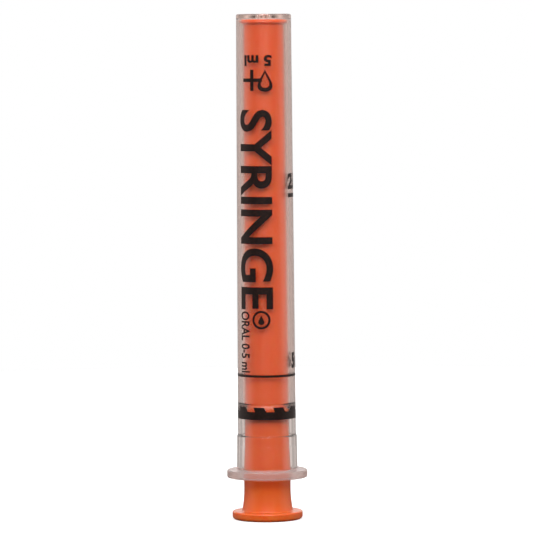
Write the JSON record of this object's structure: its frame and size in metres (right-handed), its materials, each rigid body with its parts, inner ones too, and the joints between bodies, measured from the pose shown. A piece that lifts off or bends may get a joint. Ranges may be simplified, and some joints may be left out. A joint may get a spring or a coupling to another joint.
{
  "type": "oral syringe",
  "caption": "Oral dosing syringe: a clear flat-nosed barrel with a round finger flange, and a hollow orange plunger with a thumb disc that slides in it.",
  "frame": {"origin": "centre of the thumb disc's flat underside, with the plunger fully home", "axes": "+Z along the barrel axis, towards the nose; +X and +Y are any pair across it, with the dose scale on the +X side"},
  "size_m": [0.016, 0.016, 0.101],
  "materials": {
    "clear_plastic": "clear polypropylene, slightly hazy, polished",
    "orange_plastic": "orange polyethylene, satin, slightly see-through",
    "black_ink": "black pad-printed ink, semi-matt"
  },
  "bodies": {
    "plunger": {"plunger": "orange_plastic"},
    "barrel": {"barrel": "clear_plastic"}
  },
  "joints": [
    {"name": "plunger_slide", "type": "slide", "parent": "plunger", "child": "barrel", "axis": [0, 0, 1], "range_m": [0, 0.0759]}
  ]
}
